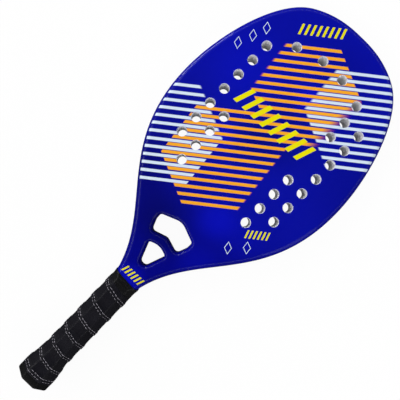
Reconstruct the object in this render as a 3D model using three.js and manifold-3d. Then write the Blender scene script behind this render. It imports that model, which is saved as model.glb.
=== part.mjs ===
// Beach tennis racket: a moulded fibre-laminate head with a drilled foam core, two throat windows
// and a wound grip. Lengths are millimetres. While a piece is shaped, Y is measured from the butt
// end and Z from the parting plane half way through the head; +Z is the front face.
import * as THREE from 'three';
import { mergeGeometries, mergeVertices } from 'three/addons/utils/BufferGeometryUtils.js';
import Module from 'manifold-3d';

const wasm = await Module();
wasm.setup();

// Overall sizes
const racketLength = 500;
const headWidth = 221;
const headThickness = 22;
const widestFromButt = 348.5;
const neckFromButt = 143;
const neckWidth = 29.8;

// Laminate shell
const laminate = 1.2;
const rimRadius = 7;
const windowLipRadius = 4.5;
const bondGap = 0.25;

// The laminate is laid in two lengths, head and throat, that meet just above the upper window
const laminateJointFromButt = 234;

// Stem: the narrow end of the moulding that the handle is built round
const stemWidth = 22;
const stemFlareLength = 9.5;
const stemFromButt = 4.75;

// Frame tube that runs round the head and down both sides of the stem
const tubeWidthHead = 14;
const tubeWidthStem = 7.8;
const tubeWall = 1.5;
const tubeOuterChamfer = 5.2;
const tubeInnerChamfer = 1.2;
const tubeTaperTop = 240;

// Bridge across the throat, foam insert below it and spacer between the two legs
const bridgeDepth = 11;
const bridgeLap = 0.4;
const insertFromButt = 152;

// Drilled holes: an inner and an outer column each side, two more holes in the right inner column,
// and four below the tip
const holeDiameter = 11;
const firstRowFromButt = 275.2;
const rowPitch = 20.9;
const innerColumn = 47;
const outerColumn = 67.2;
const innerRowCount = 4;
const outerRowCount = 7;
const extraRowCount = 2;
const crownOuter = { across: 43.8, belowTip: 57.6 };
const crownInner = { across: 14.05, belowTip: 48.8 };
const drillSkewDegrees = 0.75;
const drillPivotFromButt = 218;

// Upper throat window, a blunt chevron: corners as shares of its half-width and height, tip end first
const upperWindow = { fromButt: 199.9, width: 46.4, height: 28.8 };
const upperCornerShares = [[0, 1], [1, 0.684], [0.983, 0.413], [0.78, 0], [0, 0.198]];
const upperCornerRadii = [16, 4.5, 8, 4.5, 8];
const upperCornerSteps = [3, 3, 1, 3, 3];

// Lower throat window, a rounded triangle
const lowerWindow = { fromButt: 167.1, width: 24.6, height: 27.5 };
const lowerCornerShares = [[0, 1], [1, 0.84], [0.293, 0]];
const lowerCornerRadii = [25, 3.2, 4.5];
const lowerCornerSteps = [4, 3, 3];

// Handle pallets under the wrap: an octagon that thins towards the neck
const palletWidth = 28;
const palletDepth = 26.5;
const palletChamfer = 7.8;
const palletCornerRadius = 1.6;
const palletNoseLength = 16;
const palletNoseDrop = 1.1;

// Butt cap: a collar, and a skirt that flares out from the pallets to the collar
const collarWidth = 38.2;
const collarDepth = 36.8;
const collarLength = 8.3;
const collarEdgeRadius = 2.2;
const skirtTop = 38;
const flareRise = 3;
const capFloor = 4.5;
const recessRim = 6.6;
const recessDepth = 1.2;

// Grip wrap: a strip wound up the handle, each turn lapping over the one below it
const wrapThickness = 1.5;
const lapRise = 0.7;
const wrapTop = 138;
const wrapEndThickness = 0.7;
const topSeam = 123.6;
const topPitch = 21.9;
const pitchLoss = 0.43;
const lapFadeLength = 8;

// Finishing tape over the top of the wrap and the neck
const tapeThickness = 0.6;
const tapeBottom = 134;
const tapeTop = 145;
const tapeShoulder = 139.5;
const tapeBottomTilt = 10;
const tapeTopTilt = 4;

// Facets
const rimSteps = 3;
const holeSides = 14;
const cornerSteps = 2;
const stemSteps = 3;
const shoulderSteps = 12;
const flankSteps = 8;
const crownSteps = 5;
const flareSteps = 6;
const noseSteps = 3;

// One overrun serves every cut that runs past a face
const overrun = 3;

// Sizes that follow from the ones above
const headHalf = headWidth / 2;
const thicknessHalf = headThickness / 2;
const coreHalf = thicknessHalf - laminate - bondGap;
const headLength = racketLength - widestFromButt;
const shoulderLength = widestFromButt - neckFromButt;
const palletTop = neckFromButt - stemFlareLength - bondGap;
const palletBottom = skirtTop + bondGap;
const midHeight = collarDepth / 2;
const throughHead = [-headThickness, headThickness];

// Outline handles, as shares of the half head width and of the lengths beside the widest line
const shoulderStartShares = [0.1705, 0.365];
const shoulderEndShare = 0.538;
const stemFlareHandleShare = 0.333;
const flankStartShare = 0.327;
const crownShares = [0.525, 0.909];
const crownSlopeDegrees = 30.5;
const crownHandleShares = [0.348, 0.265];
const tipHandleShare = 0.072;

// A 45 degree chamfer beside a round corner, as a share of the corner's radius
const chamferShare = 2 - Math.SQRT2;

// The middle of the front face lies a quarter of a turn on from the right-hand side
const frontTurnShare = 0.25;

const smooth = (t) => THREE.MathUtils.smoothstep(t, 0, 1);

// Closed geometry and solids

function geometryFrom(positions, index) {
  const geometry = new THREE.BufferGeometry();
  geometry.setAttribute('position', new THREE.Float32BufferAttribute(positions, 3));
  geometry.setIndex(index);
  return geometry;
}

function solidOf(geometry) {
  geometry.deleteAttribute('normal');
  geometry.deleteAttribute('uv');
  const merged = mergeVertices(geometry);
  const vertProperties = Float32Array.from(merged.attributes.position.array);
  const triVerts = Uint32Array.from(merged.index.array);
  return new wasm.Manifold(new wasm.Mesh({ numProp: 3, vertProperties, triVerts }));
}

function geometryOf(solid) {
  const mesh = solid.getMesh();
  return geometryFrom(Array.from(mesh.vertProperties), Array.from(mesh.triVerts));
}

// The same piece turned over to the back of the parting plane
function turnedOver(geometry) {
  const positions = Array.from(geometry.attributes.position.array);
  for (let i = 2; i < positions.length; i += 3) {
    positions[i] = -positions[i];
  }
  return geometryFrom(positions, Array.from(geometry.index.array).reverse());
}

function quad(a, b, c, d) {
  return [a, b, c, a, c, d];
}

function flatCap(ring, first, up) {
  const faces = [];
  for (const [a, b, c] of THREE.ShapeUtils.triangulateShape(ring, [])) {
    const turn = THREE.ShapeUtils.area([ring[a], ring[b], ring[c]]) > 0;
    faces.push(first + a, first + (turn === up ? b : c), first + (turn === up ? c : b));
  }
  return faces;
}

// Outlines seen from the front, one above another: each layer is a ring and its height
function stack(layers) {
  const count = layers[0].ring.length;
  const positions = [];
  const index = [];
  for (const { ring, z } of layers) {
    for (const p of ring) {
      positions.push(p.x, p.y, z);
    }
  }
  for (let k = 0; k < layers.length - 1; k++) {
    for (let i = 0; i < count; i++) {
      const a = k * count + i;
      const b = k * count + (i + 1) % count;
      index.push(...quad(a, b, b + count, a + count));
    }
  }
  index.push(...flatCap(layers[0].ring, 0, false));
  index.push(...flatCap(layers.at(-1).ring, (layers.length - 1) * count, true));
  return geometryFrom(positions, index);
}

function slab(ring, from, to) {
  return solidOf(stack([{ ring, z: from }, { ring, z: to }]));
}

function block(xLow, xHigh, yLow, yHigh, [zLow, zHigh]) {
  const corners = [[xLow, yLow], [xHigh, yLow], [xHigh, yHigh], [xLow, yHigh]];
  return slab(corners.map(([x, y]) => new THREE.Vector2(x, y)), zLow, zHigh);
}

// Sections across the handle, one after another along Y
function loft(sections) {
  const count = sections[0].length;
  const positions = [];
  const index = [];
  for (const section of sections) {
    for (const p of section) {
      positions.push(p.x, p.y, p.z);
    }
  }
  for (let k = 0; k < sections.length - 1; k++) {
    for (let i = 0; i < count; i++) {
      const a = k * count + i;
      const d = k * count + (i + 1) % count;
      index.push(...quad(a, a + count, d + count, d));
    }
  }
  const last = (sections.length - 1) * count;
  for (let i = 1; i < count - 1; i++) {
    index.push(0, i, i + 1, last, last + i + 1, last + i);
  }
  return solidOf(geometryFrom(positions, index));
}

// Outline of the moulding

function cubic(points, steps) {
  const curve = new THREE.CubicBezierCurve(...points.map(([x, y]) => new THREE.Vector2(x, y)));
  const stations = [];
  for (let k = 0; k < steps; k++) {
    const tangent = curve.getTangent(k / steps);
    stations.push({ point: curve.getPoint(k / steps), normal: new THREE.Vector2(tangent.y, -tangent.x) });
  }
  return stations;
}

function mouldingOutline(start) {
  const neck = [neckWidth / 2, neckFromButt];
  const widest = [headHalf, widestFromButt];
  const crown = [headHalf * crownShares[0], widestFromButt + headLength * crownShares[1]];
  const tip = [0, racketLength];
  const rise = [
    (headHalf - neck[0]) * shoulderStartShares[0],
    shoulderLength * shoulderStartShares[1],
  ];
  const flareHandle = stemFlareLength * stemFlareHandleShare;
  const slope = THREE.MathUtils.degToRad(crownSlopeDegrees);
  const along = [-Math.cos(slope), Math.sin(slope)];
  const onSlope = (length) => [crown[0] + along[0] * length, crown[1] + along[1] * length];
  const stem = [stemWidth / 2, neckFromButt - stemFlareLength];
  const stemFlare = [
    stem,
    [stem[0], stem[1] + flareHandle],
    [neck[0] - flareHandle * rise[0] / rise[1], neck[1] - flareHandle],
    neck,
  ];
  const shoulder = [
    neck,
    [neck[0] + rise[0], neck[1] + rise[1]],
    [widest[0], widest[1] - shoulderLength * shoulderEndShare],
    widest,
  ];
  const flank = [
    widest,
    [widest[0], widest[1] + headLength * flankStartShare],
    onSlope(-headHalf * crownHandleShares[0]),
    crown,
  ];
  const top = [
    crown,
    onSlope(headHalf * crownHandleShares[1]),
    [headHalf * tipHandleShare, racketLength],
    tip,
  ];
  const right = [
    { point: new THREE.Vector2(stem[0], start), normal: new THREE.Vector2(1, 0) },
    ...cubic(stemFlare, stemSteps),
    ...cubic(shoulder, shoulderSteps),
    ...cubic(flank, flankSteps),
    ...cubic(top, crownSteps),
  ];
  const left = right.map(({ point, normal }) => ({
    point: new THREE.Vector2(-point.x, point.y),
    normal: new THREE.Vector2(-normal.x, normal.y),
  }));
  const end = { point: new THREE.Vector2(...tip), normal: new THREE.Vector2(0, 1) };
  return [...right, end, ...left.reverse()];
}

function inset(outline, depth) {
  const depthAt = typeof depth === 'function' ? depth : () => depth;
  return outline.map(({ point, normal }) => point.clone().addScaledVector(normal, -depthAt(point.y)));
}

function halfWidthAt(fromButt) {
  const outline = mouldingOutline(0);
  const above = outline.findIndex(({ point }) => point.y > fromButt);
  const low = outline[above - 1].point;
  const high = outline[above].point;
  return THREE.MathUtils.mapLinear(fromButt, low.y, high.y, low.x, high.x);
}

// Throat windows

function windowOutline(opening, shares, radii, steps) {
  const corners = shares.map(([across, up], i) => ({
    at: new THREE.Vector2(-across * opening.width / 2, opening.fromButt + up * opening.height),
    radius: radii[i],
    steps: steps[i],
  }));
  const mirrored = corners.filter(({ at }) => at.x !== 0).reverse();
  const loop = [...corners];
  for (const { at, radius, steps: arcs } of mirrored) {
    loop.push({ at: new THREE.Vector2(-at.x, at.y), radius, steps: arcs });
  }
  const stations = [];
  loop.forEach(({ at, radius, steps: arcs }, i) => {
    const before = loop.at(i - 1).at;
    const after = loop[(i + 1) % loop.length].at;
    const arriving = at.clone().sub(before).normalize();
    const leaving = after.clone().sub(at).normalize();
    const turn = Math.atan2(arriving.cross(leaving), arriving.dot(leaving));
    const side = Math.sign(turn);
    const outward = new THREE.Vector2(arriving.y, -arriving.x);
    const bend = Math.tan(Math.abs(turn) / 2);
    const room = Math.min(at.distanceTo(before), at.distanceTo(after)) / 2;
    const fillet = Math.min(radius, room / bend);
    const tangentPoint = at.clone().addScaledVector(arriving, -fillet * bend);
    const centre = tangentPoint.addScaledVector(outward, -side * fillet);
    for (let k = 0; k <= arcs; k++) {
      const normal = outward.clone().rotateAround(new THREE.Vector2(), turn * k / arcs);
      stations.push({ point: centre.clone().addScaledVector(normal, side * fillet), normal });
    }
  });
  return stations;
}

const windows = [
  windowOutline(upperWindow, upperCornerShares, upperCornerRadii, upperCornerSteps),
  windowOutline(lowerWindow, lowerCornerShares, lowerCornerRadii, lowerCornerSteps),
];

// A cutter for a window whose rim is rounded outwards at the face; skin is the wall left beside it
function windowCutter(outline, skin) {
  const radius = windowLipRadius - skin;
  const centreHeight = thicknessHalf - windowLipRadius;
  const layers = [{ ring: inset(outline, -skin), z: -thicknessHalf }];
  for (let k = 0; k <= rimSteps; k++) {
    const angle = k / rimSteps * Math.PI / 2;
    const grown = skin + radius * (1 - Math.cos(angle));
    layers.push({ ring: inset(outline, -grown), z: centreHeight + radius * Math.sin(angle) });
  }
  layers.push({ ring: inset(outline, -windowLipRadius), z: thicknessHalf + overrun });
  return solidOf(stack(layers));
}

// The whole window, rounded outwards at both faces
function windowVoid(outline, skin) {
  const front = windowCutter(outline, skin);
  return front.add(solidOf(turnedOver(geometryOf(front))));
}

// Half of the moulding in front of the parting plane, its edge rounded over to the face
function roundedHalf(outline, skin, bottom) {
  const radius = rimRadius - skin;
  const centreHeight = thicknessHalf - rimRadius;
  const layers = [{ ring: inset(outline, skin), z: bottom }];
  for (let k = 0; k <= rimSteps; k++) {
    const angle = k / rimSteps * Math.PI / 2;
    const depth = skin + radius * (1 - Math.cos(angle));
    layers.push({ ring: inset(outline, depth), z: centreHeight + radius * Math.sin(angle) });
  }
  return solidOf(stack(layers));
}

// Drill pattern, turned slightly about the throat as on the real moulding

function holePlaces() {
  const places = [];
  const rowAt = (row) => firstRowFromButt + row * rowPitch;
  for (let row = 0; row < innerRowCount; row++) {
    places.push([-innerColumn, rowAt(row)], [innerColumn, rowAt(row)]);
  }
  for (let row = 1; row <= outerRowCount; row++) {
    places.push([-outerColumn, rowAt(row)], [outerColumn, rowAt(row)]);
  }
  for (let k = 0; k < extraRowCount; k++) {
    places.push([innerColumn, rowAt(outerRowCount - k)]);
  }
  for (const { across, belowTip } of [crownOuter, crownInner]) {
    places.push([-across, racketLength - belowTip], [across, racketLength - belowTip]);
  }
  const pivot = new THREE.Vector2(0, drillPivotFromButt);
  const skew = -THREE.MathUtils.degToRad(drillSkewDegrees);
  return places.map(([x, y]) => new THREE.Vector2(x, y).rotateAround(pivot, skew));
}

function drills() {
  const radius = holeDiameter / 2;
  const rods = holePlaces().map(({ x, y }) => {
    const rod = new THREE.CylinderGeometry(radius, radius, 2 * headThickness, holeSides);
    return rod.rotateX(Math.PI / 2).translate(x, y, 0);
  });
  return solidOf(mergeGeometries(rods));
}

const drillRods = drills();

// Front and back skins: thin shells with rolled edges, window walls and drilled holes

function skinBlank() {
  const outside = roundedHalf(mouldingOutline(stemFromButt), 0, 0);
  let inside = roundedHalf(mouldingOutline(stemFromButt - overrun), laminate, -overrun);
  for (const outline of windows) {
    inside = inside.subtract(windowCutter(outline, laminate));
  }
  let shell = outside.subtract(inside);
  for (const outline of windows) {
    shell = shell.subtract(windowCutter(outline, 0));
  }
  return geometryOf(shell);
}

function lengthOf(blank, from, to) {
  return solidOf(blank).intersect(block(-headWidth, headWidth, from, to, throughHead));
}

const headOf = (blank) =>
  geometryOf(lengthOf(blank, laminateJointFromButt, racketLength + overrun).subtract(drillRods));

const throatOf = (blank) => geometryOf(lengthOf(blank, 0, laminateJointFromButt - bondGap));

// Frame tube: a hollow section swept round the head, open at the end of each leg

function tubeWidthAt(fromButt) {
  const share = smooth((fromButt - insertFromButt) / (tubeTaperTop - insertFromButt));
  return THREE.MathUtils.lerp(tubeWidthStem, tubeWidthHead, share);
}

function tubeSection(width, wall) {
  const near = laminate + bondGap + wall;
  const far = laminate + bondGap + width - wall;
  const top = coreHalf - wall;
  const shrink = wall * chamferShare;
  const outer = tubeOuterChamfer - shrink;
  const inner = tubeInnerChamfer - shrink;
  return [
    [near, outer - top], [near, top - outer], [near + outer, top], [far - inner, top],
    [far, top - inner], [far, inner - top], [far - inner, -top], [near + outer, -top],
  ];
}

function frameTube() {
  const outline = mouldingOutline(stemFromButt);
  const positions = [];
  const index = [];
  let count = 0;
  for (const wall of [0, tubeWall]) {
    for (const { point, normal } of outline) {
      const section = tubeSection(tubeWidthAt(point.y), wall);
      count = section.length;
      for (const [depth, z] of section) {
        positions.push(point.x - normal.x * depth, point.y - normal.y * depth, z);
      }
    }
  }
  const hollow = outline.length * count;
  const last = (outline.length - 1) * count;
  for (let i = 0; i < count; i++) {
    const next = (i + 1) % count;
    for (let k = 0; k < last; k += count) {
      index.push(...quad(k + i, k + i + count, k + next + count, k + next));
      index.push(...quad(k + next, k + next + count, k + i + count, k + i).map((v) => v + hollow));
    }
    index.push(...quad(i, next, next + hollow, i + hollow));
    index.push(...quad(last + next, last + i, last + i + hollow, last + next + hollow));
  }
  return geometryFrom(positions, index);
}

// Everything that fills the space inside the frame tube

const bridgeSlope = (1 - upperCornerShares[1][1]) * upperWindow.height / (upperWindow.width / 2);
const bridgeStretch = Math.hypot(1, bridgeSlope);
const bridgeApex = upperWindow.fromButt + upperWindow.height + (laminate + bondGap) * bridgeStretch;

// How far the bridge comes down beside the window's rounded apex
const bridgeDrop = upperCornerRadii[0] * (1 - 1 / bridgeStretch) + bridgeLap;

// A prism under a roof that slopes as the window's head side does
function underRoof(apex) {
  const foot = apex - headHalf * bridgeSlope;
  const base = [[-headHalf, -overrun], [headHalf, -overrun]];
  const corners = [...base, [headHalf, foot], [0, apex], [-headHalf, foot]];
  return slab(corners.map(([x, y]) => new THREE.Vector2(x, y)), -headThickness, headThickness);
}

function innerSpace() {
  const depth = (fromButt) => laminate + 2 * bondGap + tubeWidthAt(fromButt);
  return slab(inset(mouldingOutline(stemFromButt), depth), -coreHalf, coreHalf);
}

function foamCore() {
  const roof = bridgeApex + (bridgeDepth + bondGap) * bridgeStretch;
  return geometryOf(innerSpace().subtract(underRoof(roof)).subtract(drillRods));
}

function headBridge() {
  const rise = (depth) => bridgeApex + depth * bridgeStretch;
  const beam = innerSpace()
    .intersect(underRoof(rise(bridgeDepth)))
    .subtract(underRoof(rise(-bridgeDrop)))
    .subtract(windowVoid(windows[0], laminate + bondGap));
  const bore = underRoof(rise(bridgeDepth - tubeWall)).subtract(underRoof(rise(tubeWall)));
  const boreHeight = coreHalf - tubeWall;
  const level = block(-headHalf, headHalf, 0, racketLength, [-boreHeight, boreHeight]);
  return geometryOf(beam.subtract(bore.intersect(level)));
}

function throatInsert() {
  let insert = innerSpace().intersect(underRoof(bridgeApex - (bridgeDrop + bondGap) * bridgeStretch));
  insert = insert.subtract(block(-headHalf, headHalf, -overrun, insertFromButt, throughHead));
  for (const outline of windows) {
    insert = insert.subtract(windowVoid(outline, laminate + bondGap));
  }
  return geometryOf(insert);
}

function legSpacer() {
  const legs = block(-headHalf, headHalf, 0, insertFromButt - bondGap, throughHead);
  return geometryOf(innerSpace().intersect(legs));
}

// Handle sections: an octagon whose corners are rounded

function octagon(width, depth, chamfer, radius) {
  const halfWidth = width / 2;
  const halfDepth = depth / 2;
  const quarter = [[halfWidth, halfDepth - chamfer], [halfWidth - chamfer, halfDepth]];
  const corners = [
    ...quarter,
    ...quarter.map(([x, z]) => [-x, z]).reverse(),
    ...quarter.map(([x, z]) => [-x, -z]),
    ...quarter.map(([x, z]) => [x, -z]).reverse(),
  ];
  const bend = Math.PI / 4;
  const reach = radius * Math.tan(bend / 2);
  const stations = [];
  corners.forEach(([x, z], i) => {
    const at = new THREE.Vector2(x, z);
    const facing = i * bend;
    const outward = new THREE.Vector2(Math.cos(facing), Math.sin(facing));
    const along = new THREE.Vector2(-outward.y, outward.x);
    const centre = at.clone().addScaledVector(along, -reach).addScaledVector(outward, -radius);
    for (let k = 0; k <= cornerSteps; k++) {
      const normal = outward.clone().rotateAround(new THREE.Vector2(), bend * k / cornerSteps);
      stations.push({ point: centre.clone().addScaledVector(normal, radius), normal });
    }
  });
  return stations;
}

// A section placed at Y, its points pushed out by grow
function across(stations, grow, y) {
  return stations.map(({ point, normal }) => {
    const p = point.clone().addScaledVector(normal, grow);
    return new THREE.Vector3(p.x, y, p.y);
  });
}

// The moulding's own section: a flat bar with rounded edges
function mouldingSection(width) {
  return octagon(width, headThickness, rimRadius * chamferShare, rimRadius);
}

function stemPocket(from, to) {
  return loft([from, to].map((y) => across(mouldingSection(stemWidth), bondGap, y)));
}

// The bare handle that the wrap is wound on: pallets, and the cap's skirt that flares to the butt
function handleSection(fromButt) {
  const drop = palletNoseDrop * smooth((fromButt - palletTop + palletNoseLength) / palletNoseLength);
  const depth = palletDepth - 2 * drop;
  return octagon(palletWidth, depth, palletChamfer - drop, palletCornerRadius);
}

function flareAt(fromButt) {
  return flareRise * smooth((skirtTop - fromButt) / (skirtTop - collarLength));
}

function handleLoft(grow, stations) {
  return loft(stations.map((y) => across(handleSection(y), grow + flareAt(y), y)));
}

function evenly(from, to, steps) {
  return Array.from({ length: steps + 1 }, (_, k) => THREE.MathUtils.lerp(from, to, k / steps));
}

const flareStations = evenly(collarLength, skirtTop, flareSteps);
const noseStations = evenly(palletTop - palletNoseLength, palletTop, noseSteps);

// Handle pallets: two foam half-sleeves, split at the parting plane

function handlePallet(front) {
  const outside = handleLoft(0, [palletBottom, ...noseStations]);
  const sleeve = outside.subtract(stemPocket(0, neckFromButt));
  const otherHalf = front ? [-headThickness, 0] : [0, headThickness];
  return geometryOf(sleeve.subtract(block(-headHalf, headHalf, 0, neckFromButt, otherHalf)));
}

// Butt cap

function buttCap() {
  const chamfer = palletChamfer + flareRise;
  const collar = octagon(collarWidth, collarDepth, chamfer, palletCornerRadius + flareRise);
  const sections = [];
  for (const angle of evenly(0, Math.PI / 2, rimSteps)) {
    const y = collarEdgeRadius * (1 - Math.cos(angle));
    sections.push(across(collar, -collarEdgeRadius * (1 - Math.sin(angle)), y));
  }
  sections.push(across(collar, 0, collarLength));
  for (const y of flareStations) {
    sections.push(across(handleSection(y), flareAt(y), y));
  }
  const recess = loft([-overrun, recessDepth].map((y) => across(collar, -recessRim, y)));
  return geometryOf(loft(sections).subtract(stemPocket(capFloor, skirtTop + overrun)).subtract(recess));
}

// Grip wrap: the grid of its surface follows the strip, so each lap is one clean ridge

// Where the lap crosses the middle of the front face, counted in turns down from the top one
function seamAt(turn) {
  return topSeam - topPitch * turn + pitchLoss * turn * turn;
}

// Turns down from the top seam at which the winding has started below the butt all the way round
function windingStart() {
  let turns = 0;
  while (seamAt(turns) > 0) {
    turns++;
  }
  return turns + 1;
}

const startTurn = windingStart();

// Shares of a turn and of the lap's rise, from the lap's lower edge upwards
const lapShares = [[0, 0], [0.03, 1], [0.22, 1], [0.34, 0.3], [0.6, 0]];

function turnShares() {
  const stations = handleSection(skirtTop);
  const points = stations.map(({ point }) => point);
  const lengths = points.map((point, i) => point.distanceTo(points[(i + 1) % points.length]));
  const around = lengths.reduce((sum, length) => sum + length, 0);
  const shares = [stations[0].point.y / around];
  for (let i = 1; i < stations.length; i++) {
    shares.push(shares[i - 1] + lengths[i - 1] / around);
  }
  return shares;
}

function wrapPoint(i, turns, rise, aroundShares) {
  const count = aroundShares.length;
  const share = aroundShares[i % count];
  const y = seamAt(startTurn + frontTurnShare - turns - share);
  const fade = smooth((y - collarLength) / lapFadeLength);
  const { point, normal } = handleSection(y)[i % count];
  const grow = bondGap + wrapThickness + flareAt(y) + lapRise * rise * fade;
  const p = point.clone().addScaledVector(normal, grow);
  return [p.x, y, p.y];
}

function woundSurface() {
  const aroundShares = turnShares();
  const around = aroundShares.length;
  const perTurn = lapShares.length;
  const rows = (startTurn + 1) * perTurn;
  const positions = [];
  const index = [];
  const columns = [];
  for (let i = 0; i < around; i++) {
    const height = i === 0 ? rows + perTurn : rows;
    columns.push(positions.length / 3);
    for (let j = 0; j <= height; j++) {
      const [phase, rise] = lapShares[j % perTurn];
      positions.push(...wrapPoint(i, Math.floor(j / perTurn) + phase, rise, aroundShares));
    }
  }
  const vertex = (i, j) => (i === around ? columns[0] + j + perTurn : columns[i] + j);
  for (let i = 0; i < around; i++) {
    for (let j = 0; j < rows; j++) {
      index.push(vertex(i, j), vertex(i, j + 1), vertex(i + 1, j + 1));
      index.push(vertex(i, j), vertex(i + 1, j + 1), vertex(i + 1, j));
    }
  }
  const ring = (j) => Array.from({ length: around }, (_, i) => vertex(i, j));
  const step = (j) => Array.from({ length: perTurn }, (_, k) => vertex(0, j + k + 1));
  const bottom = [...ring(0), ...step(0).reverse()];
  const top = [vertex(0, rows), ...step(rows), ...ring(rows).slice(1).reverse()];
  for (const loop of [bottom, top]) {
    const centre = positions.length / 3;
    positions.push(0, positions[3 * loop[0] + 1], 0);
    loop.forEach((v, k) => index.push(centre, v, loop[(k + 1) % loop.length]));
  }
  return solidOf(geometryFrom(positions, index));
}

// The space that the finishing tape takes, from its inner face outwards
function tapeSeat() {
  const lean = Math.tan(THREE.MathUtils.degToRad(tapeBottomTilt));
  const edge = tapeBottom - bondGap;
  const corners = [
    [-collarWidth, edge + collarWidth * lean], [collarWidth, edge - collarWidth * lean],
    [collarWidth, widestFromButt], [-collarWidth, widestFromButt],
  ];
  const above = slab(corners.map(([x, y]) => new THREE.Vector2(x, y)), -headThickness, headThickness);
  const inside = handleLoft(bondGap + wrapEndThickness, [0, ...noseStations, widestFromButt]);
  return above.subtract(inside);
}

function gripWrap() {
  const length = block(-headHalf, headHalf, collarLength + bondGap, wrapTop, throughHead);
  const handle = handleLoft(bondGap, [...flareStations, ...noseStations, wrapTop + overrun]);
  return geometryOf(woundSurface().intersect(length).subtract(handle).subtract(tapeSeat()));
}

// Finishing tape: lies on the wrap's thinned end, then closes down on to the neck

function tapeSection(fromButt, grow) {
  const handle = handleSection(fromButt);
  const onWrap = across(handle, 2 * bondGap + wrapEndThickness + grow, 0);
  const leanRise = neckWidth / 2 * Math.tan(THREE.MathUtils.degToRad(tapeTopTilt));
  const neckHere = 2 * halfWidthAt(Math.max(fromButt, tapeTop) + leanRise);
  const onNeck = across(mouldingSection(neckHere), bondGap + grow, 0);
  const share = smooth((fromButt - tapeShoulder) / (tapeTop - tapeShoulder));
  return onWrap.map((p, i) => p.lerp(onNeck[i], share));
}

function tapeLoft(grow, stations) {
  return loft(stations.map(([y, tilt]) => {
    const lean = Math.tan(THREE.MathUtils.degToRad(tilt));
    return tapeSection(y, grow).map((p) => new THREE.Vector3(p.x, y - p.x * lean, p.z));
  }));
}

function finishingTape() {
  const middle = (tapeShoulder + tapeTop) / 2;
  const outside = [
    [tapeBottom, tapeBottomTilt], [tapeShoulder, tapeTopTilt],
    [middle, tapeTopTilt], [tapeTop, tapeTopTilt],
  ];
  const inside = [
    [tapeBottom - overrun, tapeBottomTilt], ...outside, [tapeTop + overrun, tapeTopTilt],
  ];
  return geometryOf(tapeLoft(tapeThickness, outside).subtract(tapeLoft(0, inside)));
}

// Finishes
const lacqueredLaminate = new THREE.MeshStandardMaterial({ color: '#1219a0', roughness: 0.25 });
const evaFoam = new THREE.MeshStandardMaterial({ color: '#e4e4e8', roughness: 0.85 });
const bareFibre = new THREE.MeshStandardMaterial({ color: '#3a3c40', roughness: 0.55 });
const palletFoam = new THREE.MeshStandardMaterial({ color: '#55575a', roughness: 0.9 });
const mouldedCap = new THREE.MeshStandardMaterial({ color: '#17181a', roughness: 0.5 });
const stitchedWrap = new THREE.MeshStandardMaterial({ color: '#1f1f21', roughness: 0.7 });
const vinylTape = new THREE.MeshStandardMaterial({ color: '#1b1b1d', roughness: 0.45 });

function piece(name, geometry, material) {
  geometry.computeVertexNormals();
  material.flatShading = true;
  const mesh = new THREE.Mesh(geometry, material);
  mesh.name = name;
  return mesh;
}

// The racket lies on its back, centred over its own outline, with its butt flare on the ground
const racket = new THREE.Group();
racket.position.set(0, -racketLength / 2, midHeight);

const frontBlank = skinBlank();
const backBlank = turnedOver(frontBlank.clone());
racket.add(piece('front_skin', headOf(frontBlank), lacqueredLaminate));
racket.add(piece('back_skin', headOf(backBlank), lacqueredLaminate));
racket.add(piece('front_throat_skin', throatOf(frontBlank), lacqueredLaminate));
racket.add(piece('back_throat_skin', throatOf(backBlank), lacqueredLaminate));
racket.add(piece('frame_tube', frameTube(), bareFibre));
racket.add(piece('foam_core', foamCore(), evaFoam));
racket.add(piece('head_bridge', headBridge(), bareFibre));
racket.add(piece('throat_insert', throatInsert(), evaFoam));
racket.add(piece('leg_spacer', legSpacer(), evaFoam));
racket.add(piece('front_pallet', handlePallet(true), palletFoam));
racket.add(piece('back_pallet', handlePallet(false), palletFoam));
racket.add(piece('butt_cap', buttCap(), mouldedCap));
racket.add(piece('grip_wrap', gripWrap(), stitchedWrap));
racket.add(piece('finishing_tape', finishingTape(), vinylTape));

export default racket;
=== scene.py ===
import math
from itertools import pairwise

import bmesh
import bpy
import numpy as np
from bpy.props import FloatProperty, FloatVectorProperty, IntProperty, PointerProperty
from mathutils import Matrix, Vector
from mathutils.geometry import delaunay_2d_cdt


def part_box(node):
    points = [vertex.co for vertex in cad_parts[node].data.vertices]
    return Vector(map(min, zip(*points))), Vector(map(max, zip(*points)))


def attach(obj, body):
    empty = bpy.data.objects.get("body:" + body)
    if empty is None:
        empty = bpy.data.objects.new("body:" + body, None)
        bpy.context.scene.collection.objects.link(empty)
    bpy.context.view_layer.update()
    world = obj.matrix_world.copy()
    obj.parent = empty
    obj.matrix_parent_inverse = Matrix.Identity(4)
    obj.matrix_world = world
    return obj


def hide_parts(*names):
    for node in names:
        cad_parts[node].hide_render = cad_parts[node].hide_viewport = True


bl_info = {
    "name": "Beach tennis racket",
    "version": (1, 0, 0),
    "blender": (4, 5, 0),
    "location": "View3D > Sidebar > Racket",
    "description": "Dresses the solids of a beach tennis racket with its finished surfaces",
    "category": "Object",
}

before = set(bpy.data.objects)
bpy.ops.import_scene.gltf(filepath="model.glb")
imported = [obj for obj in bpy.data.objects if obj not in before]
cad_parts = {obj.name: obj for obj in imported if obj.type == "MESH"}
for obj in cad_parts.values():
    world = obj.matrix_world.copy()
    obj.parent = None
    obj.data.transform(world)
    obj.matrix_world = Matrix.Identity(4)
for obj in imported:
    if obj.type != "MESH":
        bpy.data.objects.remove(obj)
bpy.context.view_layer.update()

# Main sizes in millimetres, read from the solids
MILLIMETRES = 1000
skin_low, skin_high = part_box("front_skin")
cap_low, cap_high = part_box("butt_cap")
RACKET_LENGTH = (skin_high[1] - cap_low[1]) * MILLIMETRES
HEAD_WIDTH = (skin_high[0] - skin_low[0]) * MILLIMETRES
THICKNESS_HALF = (skin_high[2] - skin_low[2]) * MILLIMETRES
COLLAR_WIDTH = (cap_high[0] - cap_low[0]) * MILLIMETRES
COLLAR_DEPTH = (cap_high[2] - cap_low[2]) * MILLIMETRES

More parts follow.
